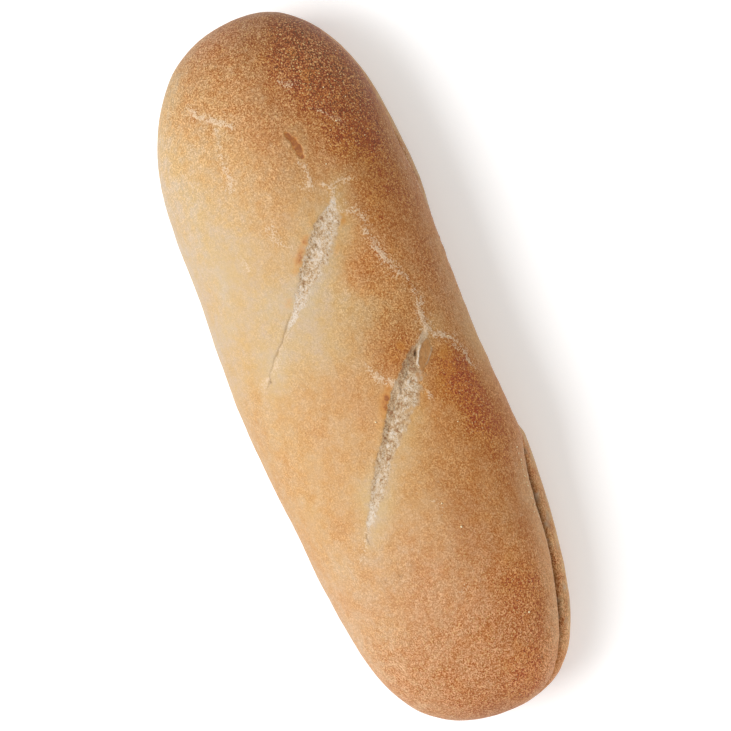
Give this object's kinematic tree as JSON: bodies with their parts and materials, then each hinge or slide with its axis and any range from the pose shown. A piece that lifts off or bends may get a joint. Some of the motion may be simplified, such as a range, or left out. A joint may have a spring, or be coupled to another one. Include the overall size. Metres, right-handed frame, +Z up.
{
  "type": "sub roll",
  "caption": "Long baked bread roll with a flat underside, a domed crown with diagonal scores on top, and a split along one side.",
  "frame": {"origin": "centre of the flat underside, the bottom centre of the bounding box", "axes": "+X along the roll, +Y across it towards the side with the split, +Z up"},
  "size_m": [0.205, 0.0706, 0.047],
  "materials": {
    "crust": "baked wheat crust, golden brown at the ends and along the split, pale gold on the plain side, with off-white crumb in the scores; low sheen, fine grain"
  },
  "bodies": {
    "root": {"roll": "crust"}
  },
  "joints": []
}
